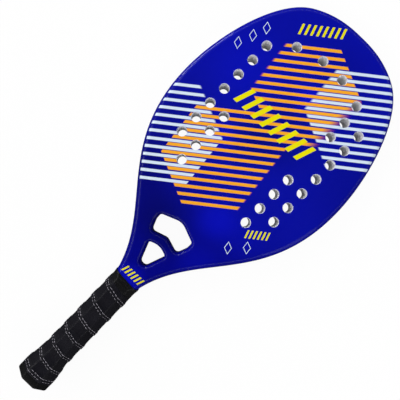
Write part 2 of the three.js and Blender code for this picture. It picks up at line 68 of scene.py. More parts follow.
# Moulding, with Y measured from the butt end and Z from the parting plane
WIDEST_FROM_BUTT = 348.5
NECK_FROM_BUTT = 143
NECK_WIDTH = 29.8
LAMINATE = 1.2
RIM_RADIUS = 7
WINDOW_LIP_RADIUS = 4.5
FACE_MARGIN = 0.4
BOND_GAP = 0.25
STEM_WIDTH = 22
STEM_FLARE_LENGTH = 9.5
STEM_FROM_BUTT = 4.75
HEAD_HALF = HEAD_WIDTH / 2
HEAD_LENGTH = RACKET_LENGTH - WIDEST_FROM_BUTT
SHOULDER_LENGTH = WIDEST_FROM_BUTT - NECK_FROM_BUTT
MID_HEIGHT = COLLAR_DEPTH / 2

# Foam core: it ends short of the frame tube, which widens up the throat, and of the bridge
CORE_HALF = THICKNESS_HALF - LAMINATE - BOND_GAP
TUBE_WIDTHS = (7.8, 14)
TUBE_WIDENS = (152, 240)
BRIDGE_WIDTH = 11

# Curves of the outline: places and pulls, as shares of the lengths that they follow
CROWN_SHARES = (0.525, 0.909)
CROWN_DEGREES = 30.5
STEM_PULL = 0.333
NECK_PULL = (0.1705, 0.365)
WIDEST_PULLS = (0.538, 0.327)
CROWN_PULLS = (0.348, 0.265)
TIP_PULL = 0.072
CURVE_STEPS = (4, 44, 30, 18)

# Windows: corners as shares of half-width and height, their radii, then size and place
UPPER_WINDOW = {
    "from_butt": 199.9,
    "width": 46.4,
    "height": 28.8,
    "corners": [(0, 1), (1, 0.684), (0.983, 0.413), (0.78, 0), (0, 0.198)],
    "radii": [16, 4.5, 8, 4.5, 8],
}
LOWER_WINDOW = {
    "from_butt": 167.1,
    "width": 24.6,
    "height": 27.5,
    "corners": [(0, 1), (1, 0.84), (0.293, 0)],
    "radii": [25, 3.2, 4.5],
}
WINDOW_CORNER_STEPS = 9
SAME_PLACE = 0.01
MERGE_DISTANCE = 1e-7
CUT_DISTANCE = 1e-6

# Drilled holes
FIRST_ROW_FROM_BUTT = 275.2
ROW_PITCH = 20.9
INNER_COLUMN = 47
OUTER_COLUMN = 67.2
INNER_ROWS = range(4)
OUTER_ROWS = range(1, 8)
EXTRA_ROWS = (7, 6)
CROWN_HOLES = [(43.8, 57.6), (14.05, 48.8)]
DRILL_SKEW_DEGREES = 0.75
DRILL_PIVOT_FROM_BUTT = 218
# A countersink, as shares of the lip out from the wall and down from the face
COUNTERSINK = [(1, 0), (0.6, 0.2), (0.2, 0.6), (0, 1)]
# Materials down a hole's wall: print, then the cut edge, then print's bare inside
HOLE_SLOTS = (0, 1, 1, 1, 1, 0)

# Handle and its cap
PALLET_WIDTH = 28
PALLET_DEPTH = 26.5
PALLET_CHAMFER = 7.8
PALLET_CORNER_RADIUS = 1.6
PALLET_NOSE_LENGTH = 16
PALLET_NOSE_DROP = 1.1
PALLET_TOP = NECK_FROM_BUTT - STEM_FLARE_LENGTH - BOND_GAP
CHAMFER_SHARE = 2 - math.sqrt(2)
COLLAR_LENGTH = 8.3
COLLAR_EDGE_RADIUS = 2.2
COLLAR_LEAST_RADIUS = 1
# The ledge over the collar, from its edge: inwards and down
COLLAR_LEDGE = [(0, 0.5), (0.15, 0.13), (0.5, 0), (1.2, 0)]
SKIRT_FOOT = 0.3
SKIRT_TOP = 38
FLARE_RISE = 3
CAP_FLOOR = 4.5
CAP_RIM_RADIUS = 0.5
RECESS_RIM = 6.6
RECESS_DEPTH = 1.2
# The wall of the recess, from its floor: inwards and out
RECESS_WALL = [(0.3, 0), (0, 0), (-0.15, 0.2)]
RECESS_DRAFT = 0.3

# Wound strip: seams up the handle, the hem of its first turn, then its end under the tape
TOP_SEAM = 123.6
TOP_PITCH = 21.9
PITCH_LOSS = 0.43
FRONT_TURN_SHARE = 0.25
HEM_RISE = 0.5
HEM_TOP = 15.5
HEM_EDGE = 2
LAP_FADE_LENGTH = 8
STRIP_SHOWN_SHARE = 0.5
WRAP_END_THICKNESS = 0.7
WRAP_END_GAP = 0.05

# A lap in section, as shares of its pitch and rise: cut edge, top, then two soft slopes
LAP_EDGE = 0.03
LAP_EDGE_POWER = 0.7
LAP_TOPS = [(LAP_EDGE, 1), (0.22, 1), (0.34, 0.3), (0.6, 0), (1, 0)]
STITCH_PHASES = (0.07, 0.205)
STITCH_DENT = 0.32
STITCH_DENT_WIDTH = 0.022
LAP_PHASES = (
    [0, 0.006, 0.014, 0.022, 0.03, 0.045, 0.058, 0.07, 0.082, 0.095, 0.115, 0.137, 0.16]
    + [0.18, 0.193, 0.205, 0.217, 0.23, 0.25, 0.28, 0.31, 0.34, 0.38, 0.42, 0.48, 0.54, 0.6]
    + [0.68, 0.76, 0.84, 0.92, 0.97]
)

# Stitches: each row's height on the hem and thread size, then the shape of a bead
HEM_ROWS = (11.1, 14.2)
THREAD_SHARES = (0.72, 1.05)
BEAD_STATIONS = (-1, -0.86, -0.5, 0, 0.5, 0.86, 1)
BEAD_SHARE = 0.68
BEAD_LIFT = 0.75
BEAD_DIP = 1.5
BEAD_TAPER = 0.45
BEAD_SIDES = 6
HEM_CLEARANCE = 1
TAPE_CLEARANCE = 0.6

# Finishing tape
TAPE_THICKNESS = 0.6
TAPE_BOTTOM = 134
TAPE_TOP = 145
TAPE_SHOULDER = 139.5
TAPE_TILTS = (10, 4)
TAPE_EDGE_RADIUS = 0.3
TAPE_FLAT_STEPS = 3

# Print: how far the stripes are turned from the racket's width, and how soft their blocks end
STRIPE_DEGREES = 37.1
ROWS_FADE = 0.1


def linear(code):
    """Turns an sRGB hex colour into linear RGB."""
    values = [int(code[i : i + 2], 16) / 255 for i in (1, 3, 5)]
    return [v / 12.92 if v <= 0.04045 else ((v + 0.055) / 1.055) ** 2.4 for v in values]


def placed(x, y, z):
    """A point of the moulding, in millimetres, as a point of the frame in metres."""
    return (x / MILLIMETRES, (y - RACKET_LENGTH / 2) / MILLIMETRES, (z + MID_HEIGHT) / MILLIMETRES)


def smooth(t):
    t = min(max(t, 0), 1)
    return t * t * (3 - 2 * t)


def between(t, low, high):
    return low + (high - low) * t


def evenly(low, high, steps):
    return [between(k / steps, low, high) for k in range(steps + 1)]


def turned(x, y, angle):
    cos, sin = math.cos(angle), math.sin(angle)
    return x * cos - y * sin, x * sin + y * cos


def slant(degrees):
    return math.tan(math.radians(degrees))


def quarter_round(radius, steps, start=0):
    """A rounded edge, as how far in from its wall and down from its top; start is in radians."""
    turns = evenly(start, math.pi / 2, steps)
    return [(radius * (1 - math.cos(a)), radius * (1 - math.sin(a))) for a in turns]


def closed(loop):
    """Neighbouring pairs all round a loop."""
    return list(zip(loop, loop[1:] + loop[:1]))


def linked(name, data):
    """A new object in the scene."""
    made = bpy.data.objects.new(name, data)
    bpy.context.scene.collection.objects.link(made)
    return made


# Outlines: lists of (x, y, normal x, normal y), anticlockwise


def bezier(a, b, c, d, steps):
    stations = []
    for k in range(steps):
        t = k / steps
        s = 1 - t
        x, y = (s**3 * a[i] + 3 * s * s * t * b[i] + 3 * s * t * t * c[i] + t**3 * d[i] for i in (0, 1))
        dx, dy = (s * s * (b[i] - a[i]) + 2 * s * t * (c[i] - b[i]) + t * t * (d[i] - c[i]) for i in (0, 1))
        length = math.hypot(dx, dy)
        stations.append((x, y, dy / length, -dx / length))
    return stations


def moulding_outline(start):
    """The racket's outline, up the right side to the tip and down the left; the stem's foot is at start."""
    neck = (NECK_WIDTH / 2, NECK_FROM_BUTT)
    widest = (HEAD_HALF, WIDEST_FROM_BUTT)
    crown = (HEAD_HALF * CROWN_SHARES[0], WIDEST_FROM_BUTT + HEAD_LENGTH * CROWN_SHARES[1])
    tip = (0, RACKET_LENGTH)
    stem = (STEM_WIDTH / 2, NECK_FROM_BUTT - STEM_FLARE_LENGTH)
    rise = ((HEAD_HALF - neck[0]) * NECK_PULL[0], SHOULDER_LENGTH * NECK_PULL[1])
    handle = STEM_FLARE_LENGTH * STEM_PULL

    def on_slope(share):
        x, y = turned(HEAD_HALF * share, 0, -math.radians(CROWN_DEGREES))
        return (crown[0] - x, crown[1] - y)

    below_neck = (neck[0] - handle * rise[0] / rise[1], neck[1] - handle)
    above_neck = (neck[0] + rise[0], neck[1] + rise[1])
    below_widest = (widest[0], widest[1] - SHOULDER_LENGTH * WIDEST_PULLS[0])
    above_widest = (widest[0], widest[1] + HEAD_LENGTH * WIDEST_PULLS[1])
    curves = [
        (stem, (stem[0], stem[1] + handle), below_neck, neck),
        (neck, above_neck, below_widest, widest),
        (widest, above_widest, on_slope(-CROWN_PULLS[0]), crown),
        (crown, on_slope(CROWN_PULLS[1]), (HEAD_HALF * TIP_PULL, tip[1]), tip),
    ]
    right = [(stem[0], start, 1, 0)]
    for curve, steps in zip(curves, CURVE_STEPS):
        right += bezier(*curve, steps)
    left = [(-x, y, -nx, ny) for x, y, nx, ny in reversed(right)]
    return right + [(*tip, 0, 1)] + left


def window_outline(window):
    half = window["width"] / 2
    corners = []
    for (wide, high), radius in zip(window["corners"], window["radii"]):
        at = Vector((-wide * half, window["from_butt"] + high * window["height"]))
        corners.append((at, radius))
    loop = corners + [(Vector((-at.x, at.y)), r) for at, r in reversed(corners) if at.x != 0]
    stations = []
    for i, (at, radius) in enumerate(loop):
        before = loop[i - 1][0]
        after = loop[(i + 1) % len(loop)][0]
        arriving = (at - before).normalized()
        leaving = (after - at).normalized()
        turn = math.atan2(arriving.x * leaving.y - arriving.y * leaving.x, arriving.dot(leaving))
        side = math.copysign(1, turn)
        outward = Vector((arriving.y, -arriving.x))
        bend = math.tan(abs(turn) / 2)
        room = min((at - before).length, (at - after).length) / 2
        fillet = min(radius, room / bend)
        centre = at - arriving * fillet * bend - outward * side * fillet
        for angle in evenly(0, turn, WINDOW_CORNER_STEPS):
            normal = Vector(turned(*outward, angle))
            point = centre + normal * side * fillet
            if not stations or math.dist(point, stations[-1][:2]) > SAME_PLACE:
                stations.append((*point, *normal))
    return stations


def circle(x, y, radius, steps):
    normals = [turned(1, 0, 2 * math.pi * k / steps) for k in range(steps)]
    return [(x + radius * nx, y + radius * ny, nx, ny) for nx, ny in normals]


def pushed(outline, distance):
    """The outline's points moved along their normals; distance may depend on Y."""
    at = distance if callable(distance) else lambda y: distance
    return [(x + nx * at(y), y + ny * at(y)) for x, y, nx, ny in outline]


def hole_places():
    places = []
    for column, rows in ((INNER_COLUMN, INNER_ROWS), (OUTER_COLUMN, OUTER_ROWS)):
        places += [(side * column, row) for row in rows for side in (-1, 1)]
    places += [(INNER_COLUMN, row) for row in EXTRA_ROWS]
    points = [(x, FIRST_ROW_FROM_BUTT + row * ROW_PITCH) for x, row in places]
    for off_middle, below_tip in CROWN_HOLES:
        points += [(side * off_middle, RACKET_LENGTH - below_tip) for side in (-1, 1)]
    pivot = DRILL_PIVOT_FROM_BUTT
    skewed = [turned(x, y - pivot, -math.radians(DRILL_SKEW_DEGREES)) for x, y in points]
    return [(x, pivot + y) for x, y in skewed]


def inside(points, loop):
    """Which points lie inside a closed loop."""
    x, y = points[:, 0], points[:, 1]
    found = np.zeros(len(points), bool)
    for (ax, ay), (bx, by) in closed(loop):
        if ay == by:
            continue
        crossed = (ay > y) != (by > y)
        found ^= crossed & (x < ax + (y - ay) * (bx - ax) / (by - ay))
    return found


def fill_loops(edge, holes):
    """Triangles between an edge and the holes in it, as indices into all their points in order."""
    points = []
    sides = []
    for loop in [edge] + holes:
        first = len(points)
        points += loop
        sides += closed(list(range(first, len(points))))
    found = delaunay_2d_cdt([Vector(p) for p in points], sides, [], 0, MERGE_DISTANCE)
    places, faces, sources = found[0], found[2], found[3]
    where = [source[0] if source else None for source in sources]
    middles = np.array([np.mean([places[v] for v in f], axis=0) for f in faces])
    keep = inside(middles, edge)
    for hole in holes:
        keep &= ~inside(middles, hole)
    return [[where[v] for v in f] for f, kept in zip(faces, keep) if kept]


class Shape:
    """Vertices and faces collected in millimetres, then turned into an object."""

    def __init__(self):
        self.points = []
        self.faces = []
        self.slots = []

    def section(self, points):
        first = len(self.points)
        self.points += [placed(x, y, z) for x, y, z in points]
        return list(range(first, len(self.points)))

    def ring(self, loop, z):
        return self.section([(x, y, z) for x, y in loop])

    def add(self, faces, slot=0):
        self.faces += [tuple(f) for f in faces]
        self.slots += [slot] * len(faces)

    def join(self, low, high, slot=0):
        """Quads between two closed rings of the same count."""
        self.add([(a, b, d, c) for (a, b), (c, d) in zip(closed(low), closed(high))], slot)

    def join_all(self, rings):
        for low, high in pairwise(rings):
            self.join(low, high)

    def close(self, rings):
        """Joins the rings and caps both ends."""
        self.join_all(rings)
        self.add([rings[0], rings[-1][::-1]])

    def made(self, name, materials, sharp_degrees, cuts=()):
        """The object, cut off past planes that are given as a point and a normal."""
        mesh = bpy.data.meshes.new(name)
        mesh.from_pydata(self.points, [], self.faces)
        mesh.polygons.foreach_set("material_index", self.slots)
        for material in materials:
            mesh.materials.append(material)
        body = bmesh.new()
        body.from_mesh(mesh)
        bmesh.ops.remove_doubles(body, verts=body.verts, dist=MERGE_DISTANCE)
        # A single face keeps its own direction
        if len(self.faces) > 1:
            bmesh.ops.recalc_face_normals(body, faces=body.faces)
        for point, normal in cuts:
            parts = body.verts[:] + body.edges[:] + body.faces[:]
            plane = {"plane_co": point, "plane_no": normal, "clear_outer": True}
            bmesh.ops.bisect_plane(body, geom=parts, dist=CUT_DISTANCE, **plane)
        body.to_mesh(mesh)
        body.free()
        mesh.shade_smooth()
        mesh.set_sharp_from_angle(angle=math.radians(sharp_degrees))
        return linked(name, mesh)


def keep_piece(piece, slot, *nodes):
    """Attaches the piece to the root body and hides the solids that it stands for; its slot is not used."""
    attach(piece, "root")
    if nodes:
        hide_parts(*nodes)
    return piece


# Laminate shells and the foam between them


def laminate_shell(settings, front):
    """A closed thin shell: printed outside, cut edges in the holes, bare inside."""
    side = 1 if front else -1
    hole_radius = settings.hole_diameter * MILLIMETRES / 2
    lip = settings.hole_lip * MILLIMETRES
    brink = hole_radius + lip + FACE_MARGIN
    windows = [window_outline(UPPER_WINDOW), window_outline(LOWER_WINDOW)]
    holes = [circle(x, y, 0, settings.hole_steps) for x, y in hole_places()]
    shape = Shape()
    feet = []
    for skin in (0, LAMINATE):
        face = THICKNESS_HALF - skin
        edges = [(moulding_outline(STEM_FROM_BUTT + skin), RIM_RADIUS, -1)]
        edges += [(window, WINDOW_LIP_RADIUS, 1) for window in windows]
        feet.append([])
        loops = []
        flat = []
        for outline, radius, outwards in edges:
            rings = [shape.ring(pushed(outline, outwards * skin), 0)]
            for inwards, down in quarter_round(radius - skin, settings.rim_steps):
                loop = pushed(outline, outwards * (skin + inwards))
                rings.append(shape.ring(loop, side * (face - down)))
            loops.append(pushed(outline, outwards * (radius + FACE_MARGIN)))
            rings.append(shape.ring(loops[-1], side * face))
            shape.join_all(rings)
            feet[-1].append(rings[0])
            flat += rings[-1]
        for hole in holes:
            loops.append(pushed(hole, brink))
            flat += shape.ring(loops[-1], side * face)
        shape.add([[flat[v] for v in f] for f in fill_loops(loops[0], loops[1:])])
    for low, high in zip(*feet):
        shape.join(low, high)
    # Each drilled hole: a small countersink in the lacquer, then the cut wall of the laminate
    walls = [(brink, 0)] + [(hole_radius + lip * out, lip * down) for out, down in COUNTERSINK]
    walls += [(hole_radius, LAMINATE), (brink, LAMINATE)]
    for hole in holes:
        rings = [shape.ring(pushed(hole, r), side * (THICKNESS_HALF - down)) for r, down in walls]
        for (low, high), slot in zip(pairwise(rings), HOLE_SLOTS):
            shape.join(low, high, slot)
    name = "front_laminate" if front else "back_laminate"
    return shape.made(name, [lacquered_laminate(), cut_laminate_edge()], sharp_degrees=35)


def foam_core(settings):
    """The foam inside the frame tube and above the bridge, with its drilled holes."""

    def depth(y):
        share = smooth((y - TUBE_WIDENS[0]) / (TUBE_WIDENS[1] - TUBE_WIDENS[0]))
        return -(LAMINATE + 2 * BOND_GAP + between(share, *TUBE_WIDTHS))

    slope = (1 - UPPER_WINDOW["corners"][1][1]) * UPPER_WINDOW["height"] / (UPPER_WINDOW["width"] / 2)
    window_tip = UPPER_WINDOW["from_butt"] + UPPER_WINDOW["height"]
    roof = window_tip + (LAMINATE + BOND_GAP + BRIDGE_WIDTH + BOND_GAP) * math.hypot(1, slope)
    within_tube = pushed(moulding_outline(STEM_FROM_BUTT), depth)
    edge = [(0, roof)] + [(x, y) for x, y in within_tube if y > roof - abs(x) * slope]
    radius = settings.hole_diameter * MILLIMETRES / 2
    loops = [pushed(circle(x, y, 0, settings.hole_steps), radius) for x, y in hole_places()]
    faces = fill_loops(edge, loops)
    shape = Shape()
    low, high = [], []
    for loop in [edge] + loops:
        a = shape.ring(loop, -CORE_HALF)
        b = shape.ring(loop, CORE_HALF)
        shape.join(a, b)
        low += a
        high += b
    for level in (low, high):
        shape.add([[level[v] for v in f] for f in faces])
    return shape.made("drilled_core", [drilled_eva_foam()], sharp_degrees=35)


# Sections across the handle: lists of (x, z, normal x, normal z)


def octagon(width, depth, chamfer, radius, corner_steps=6, flat_steps=1):
    half_width = width / 2
    half_depth = depth / 2
    quarter = [(half_width, half_depth - chamfer), (half_width - chamfer, half_depth)]
    corners = quarter + [(-x, z) for x, z in reversed(quarter)]
    corners += [(-x, -z) for x, z in quarter] + [(x, -z) for x, z in reversed(quarter)]
    bend = math.pi / 4
    reach = radius * math.tan(bend / 2)
    rounds = []
    for i, corner in enumerate(corners):
        facing = i * bend
        outward = Vector(turned(1, 0, facing))
        centre = Vector(corner) - outward.orthogonal() * reach - outward * radius
        turns = evenly(facing, facing + bend, corner_steps)
        normals = [Vector(turned(1, 0, angle)) for angle in turns]
        rounds.append([(*(centre + normal * radius), *normal) for normal in normals])
    stations = []
    for here, after in closed(rounds):
        stations += here
        for k in range(1, flat_steps):
            x, z = (between(k / flat_steps, here[-1][j], after[0][j]) for j in (0, 1))
            stations.append((x, z, *here[-1][2:]))
    return stations


def moulding_section(width, flat_steps=1):
    chamfer = RIM_RADIUS * CHAMFER_SHARE
    return octagon(width, 2 * THICKNESS_HALF, chamfer, RIM_RADIUS, flat_steps=flat_steps)


def handle_section(y, corner_steps=6, flat_steps=1):
    drop = PALLET_NOSE_DROP * smooth((y - PALLET_TOP + PALLET_NOSE_LENGTH) / PALLET_NOSE_LENGTH)
    depth = PALLET_DEPTH - 2 * drop
    chamfer = PALLET_CHAMFER - drop
    return octagon(PALLET_WIDTH, depth, chamfer, PALLET_CORNER_RADIUS, corner_steps, flat_steps)


def flare_at(y):
    return FLARE_RISE * smooth((SKIRT_TOP - y) / (SKIRT_TOP - COLLAR_LENGTH))


def across(section, grow, y):
    return [(x + nx * grow, y, z + nz * grow) for x, z, nx, nz in section]


# Wound strip and its stitches


def seam_at(settings, turns):
    """Where a lap lies, from the butt, once the strip has made some turns up the handle."""
    turns_down = settings.start_turn + FRONT_TURN_SHARE - turns
    return TOP_SEAM - TOP_PITCH * turns_down + PITCH_LOSS * turns_down * turns_down


def turn_shares(section):
    """How far round the handle each point of a section lies, as shares of a turn."""
    gaps = [math.dist(a[:2], b[:2]) for a, b in closed(section)]
    total = sum(gaps)
    shares = [section[0][1] / total]
    for gap in gaps[:-1]:
        shares.append(shares[-1] + gap / total)
    return shares


def lap_rise(phase):
    """Height of the lap, as a share of its rise, from its lower edge upwards."""
    if phase < LAP_EDGE:
        height = math.sin(phase / LAP_EDGE * math.pi / 2) ** LAP_EDGE_POWER
    for (start, high), (end, low) in pairwise(LAP_TOPS):
        if start <= phase < end:
            height = between(smooth((phase - start) / (end - start)), high, low)
    for row in STITCH_PHASES:
        height -= STITCH_DENT * math.exp(-(((phase - row) / STITCH_DENT_WIDTH) ** 2))
    return height


def strip_height(settings, y, phase):
    """How far the strip's outside stands off the pallets; laps fade out above the hem."""
    hem = HEM_RISE * (1 - smooth((y - HEM_TOP) / HEM_EDGE + 0.5))
    lap = settings.lap_rise * MILLIMETRES * lap_rise(phase) * smooth((y - HEM_TOP) / LAP_FADE_LENGTH)
    return BOND_GAP + settings.wrap_thickness * MILLIMETRES + flare_at(y) + lap + hem


def grip_wrap(settings):
    steps = {"corner_steps": 5, "flat_steps": 5}
    shares = turn_shares(handle_section(SKIRT_TOP, **steps))
    per_turn = len(LAP_PHASES)
    rows = (settings.start_turn + 1) * per_turn
    shape = Shape()
    columns = []
    for i, share in enumerate(shares):
        points = []
        for j in range(rows + 1 + (0 if i else per_turn)):
            phase = LAP_PHASES[j % per_turn]
            y = seam_at(settings, j // per_turn + phase + share)
            points += across([handle_section(y, **steps)[i]], strip_height(settings, y, phase), y)
        columns.append(shape.section(points))
    columns.append(columns[0][per_turn:])
    for near, far in pairwise(columns):
        shape.add([(near[j], near[j + 1], far[j + 1], far[j]) for j in range(rows)])
    ends = [
        (placed(0, COLLAR_LENGTH + BOND_GAP, 0), (0, -1, 0)),
        (placed(0, TAPE_BOTTOM - WRAP_END_GAP, 0), (slant(TAPE_TILTS[0]), 1, 0)),
    ]
    wrap = shape.made("grip_wrap_strip", [embossed_wrap()], sharp_degrees=50, cuts=ends)
    thickness = wrap.modifiers.new("Strip thickness", "SOLIDIFY")
    thickness.thickness = settings.wrap_thickness * STRIP_SHOWN_SHARE
    thickness.offset = -1
    thickness.use_even_offset = False
    return wrap


def stitching(settings):
    """Two rows of short thread beads on each lap, dipping into the strip at their ends."""
    steps = {"corner_steps": 3, "flat_steps": 4}
    shares = turn_shares(handle_section(SKIRT_TOP, **steps))
    spans = [share - shares[0] for share in shares] + [1]
    shape = Shape()

    def surface(turns, phase, lift, level):
        """The strip's surface at a place given in turns round the handle, or at a level."""
        turned = (turns - shares[0]) % 1
        k = next(i for i, end in enumerate(spans[1:]) if end >= turned)
        t = (turned - spans[k]) / (spans[k + 1] - spans[k])
        y = level or seam_at(settings, phase + turns)
        side = closed(handle_section(y, **steps))[k]
        x, z, nx, nz = (between(t, *ends) for ends in zip(*side))
        grow = (strip_height(settings, y, phase) + lift) / math.hypot(nx, nz)
        return Vector((x + nx * grow, y, z + nz * grow)), Vector((nx, 0, nz))

    per_turn = round(settings.turn_length / settings.stitch_pitch)
    off_lap = LAP_TOPS[2][0]
    rows = [(row, phase, None, settings.start_turn + 1) for row, phase in enumerate(STITCH_PHASES)]
    rows += [(row, off_lap, level, 1) for row, level in enumerate(HEM_ROWS)]
    for row, phase, level, turns in rows:
        radius = settings.thread_diameter * MILLIMETRES / 2 * THREAD_SHARES[row]
        for k in range(per_turn * turns):
            middle = (k + 0.5 * row) / per_turn
            stations = []
            for t in BEAD_STATIONS:
                lift = radius * (BEAD_LIFT - BEAD_DIP * abs(t) ** 3)
                place = surface(middle + t * BEAD_SHARE / 2 / per_turn, phase, lift, level)
                stations.append((*place, radius * (1 - BEAD_TAPER * abs(t) ** 4)))
            if level is None and min(at.y for at, _, _ in stations) < HEM_TOP + HEM_CLEARANCE:
                continue
            top = max(at.y + slant(TAPE_TILTS[0]) * at.x for at, _, _ in stations)
            if top > TAPE_BOTTOM - TAPE_CLEARANCE:
                continue
            rings = []
            for i, (at, normal, thick) in enumerate(stations):
                before = stations[max(i - 1, 0)][0]
                after = stations[min(i + 1, len(stations) - 1)][0]
                along = (after - before).normalized()
                up = (normal - along * normal.dot(along)).normalized()
                aside = along.cross(up)
                sides = circle(0, 0, 1, BEAD_SIDES)
                rings.append(shape.section([at + (aside * x + up * y) * thick for x, y, _, _ in sides]))
            shape.close(rings)
    return shape.made("lap_stitching", [polyester_thread()], sharp_degrees=60)


# Butt cap and finishing tape


def collar_inset(distance, y):
    """The collar's section made smaller all round, its corners kept true."""
    chamfer = PALLET_CHAMFER + FLARE_RISE - distance * CHAMFER_SHARE
    radius = max(PALLET_CORNER_RADIUS + FLARE_RISE - distance, COLLAR_LEAST_RADIUS)
    width = COLLAR_WIDTH - 2 * distance
    depth = COLLAR_DEPTH - 2 * distance
    return across(octagon(width, depth, chamfer, radius), 0, y)


def butt_cap():
    """From the recess in the butt over the collar and up the skirt, then down the stem's pocket."""
    rim = RECESS_RIM - RECESS_DRAFT
    sections = [collar_inset(RECESS_RIM + more, RECESS_DEPTH - out) for more, out in RECESS_WALL]
    sections.append(collar_inset(rim, CAP_RIM_RADIUS))
    sections += [collar_inset(rim - out, y) for out, y in quarter_round(CAP_RIM_RADIUS, steps=4)]
    sections += [collar_inset(inwards, y) for y, inwards in quarter_round(COLLAR_EDGE_RADIUS, steps=8)]
    sections += [collar_inset(inwards, COLLAR_LENGTH - down) for inwards, down in COLLAR_LEDGE]
    for y in evenly(COLLAR_LENGTH + SKIRT_FOOT, SKIRT_TOP, steps=10):
        sections.append(across(handle_section(y), flare_at(y), y))
    sections += [across(moulding_section(STEM_WIDTH), BOND_GAP, y) for y in (SKIRT_TOP, CAP_FLOOR)]
    shape = Shape()
    shape.close([shape.section(points) for points in sections])
    return shape.made("moulded_butt_cap", [moulded_cap()], sharp_degrees=40)


def half_width_at(y):
    right = [(x, at) for x, at, _, _ in moulding_outline(0) if x > 0]
    for (ax, ay), (bx, by) in pairwise(right):
        if ay <= y <= by:
            return between((y - ay) / (by - ay), ax, bx)
    raise ValueError("no outline at this height")


def tape_section(y, grow):
    handle = handle_section(y, flat_steps=TAPE_FLAT_STEPS)
    on_wrap = across(handle, 2 * BOND_GAP + WRAP_END_THICKNESS + grow, 0)
    lean_rise = NECK_WIDTH / 2 * slant(TAPE_TILTS[1])
    neck = moulding_section(2 * half_width_at(max(y, TAPE_TOP) + lean_rise), TAPE_FLAT_STEPS)
    on_neck = across(neck, BOND_GAP + grow, 0)
    share = smooth((y - TAPE_SHOULDER) / (TAPE_TOP - TAPE_SHOULDER))
    return [tuple(between(share, a[i], b[i]) for i in range(3)) for a, b in zip(on_wrap, on_neck)]


def finishing_tape():
    """One turn of tape, round from its outside over both edges to the face that sticks."""
    stations = []
    for y in evenly(TAPE_BOTTOM, TAPE_TOP, steps=14):
        share = min((y - TAPE_BOTTOM) / (TAPE_SHOULDER - TAPE_BOTTOM), 1)
        stations.append((y, between(share, *TAPE_TILTS)))
    edge = [(0, TAPE_EDGE_RADIUS)] + quarter_round(TAPE_EDGE_RADIUS, steps=3, start=0.3)
    (low_y, low_tilt), (high_y, high_tilt) = stations[0], stations[-1]
    loop = [(low_y + inwards, low_tilt, down) for inwards, down in edge]
    loop += [(y, tilt, 0) for y, tilt in stations[1:-1]]
    loop += [(high_y - inwards, high_tilt, down) for inwards, down in reversed(edge)]
    loop += [(y, tilt, TAPE_THICKNESS) for y, tilt in reversed(stations)]
    shape = Shape()
    rings = []
    for y, tilt, down in loop:
        section = tape_section(y, TAPE_THICKNESS - down)
        rings.append(shape.section([(x, y - x * slant(tilt), z) for x, _, z in section]))
    shape.join_all(rings + rings[:1])
    return shape.made("vinyl_finishing_tape", [vinyl_tape()], sharp_degrees=50)


# Materials


def add_node(tree, kind, inputs=(), **settings):
    """Adds a shader node and sets it. Its inputs come in order or by name, and each is a number, a
    colour, a socket, or a node that stands for its first output in use."""
    made = tree.nodes.new("ShaderNode" + kind)
    for name, value in settings.items():
        setattr(made, name, value)
    for key, value in inputs.items() if isinstance(inputs, dict) else enumerate(inputs):
        socket = made.inputs[key]
        if isinstance(value, bpy.types.Node):
            value = next(output for output in value.outputs if output.enabled)
        if isinstance(value, bpy.types.NodeSocket):
            tree.links.new(value, socket)
        elif socket.type == "RGBA":
            socket.default_value = (*(linear(value) if isinstance(value, str) else value), 1)
        else:
            socket.default_value = value
    return made


def material_named(name):
    """Turns a function that builds a surface into one that gives the material of that name."""

    def wrap(build):
        def material():
            made = bpy.data.materials.get(name)
            if made is None:
                made = bpy.data.materials.new(name)
                made.use_nodes = True
                tree = made.node_tree
                tree.nodes.clear()
                place = add_node(tree, "TexCoord").outputs["Object"]
                scaled = [place, [MILLIMETRES] * 3]
                millimetres = add_node(tree, "VectorMath", scaled, operation="MULTIPLY")
                add_node(tree, "OutputMaterial", [build(tree, millimetres)])
            return made

        return material

    return wrap


def grained(tree, grain, colours, relief, surface, raised=None, invert=False):
    """A surface whose grain blends two colours and raises it, by a strength and a distance in metres;
    another grain may raise it instead."""
    tint = add_node(tree, "Mix", {"Factor": grain, "A": colours[0], "B": colours[1]}, data_type="RGBA")
    heights = {"Height": raised or grain, "Strength": relief[0], "Distance": relief[1]}
    bump = add_node(tree, "Bump", heights, invert=invert)
    return add_node(tree, "BsdfPrincipled", {"Base Color": tint, "Normal": bump, **surface})


def turned_line(u, v, offset=0, degrees=STRIPE_DEGREES):
    """A line's numbers in turned coordinates as numbers for (across, from the butt, 1)."""
    return (*turned(u, v, math.radians(degrees)), offset)


def through(line, x, y):
    """The line moved to where it is zero at a point."""
    return (line[0], line[1], -(line[0] * x + line[1] * y))


def band(line, width):
    """The two edges of a band that starts at a line."""
    return [line, (-line[0], -line[1], width - line[2])]


def right_of(u, v, slope):
    """A line through (u, v) with du/dv = slope, above zero on its right, in millimetres."""
    size = math.hypot(1, slope)
    return turned_line(1 / size, -slope / size, (slope * v - u) / size)


def left_of(u, v, slope):
    return tuple(-n for n in right_of(u, v, slope))


def rows_from(low, high):
    """The two lines that keep v between low and high."""
    return [(line, ROWS_FADE) for line in band(turned_line(0, 1, -low), high - low)]


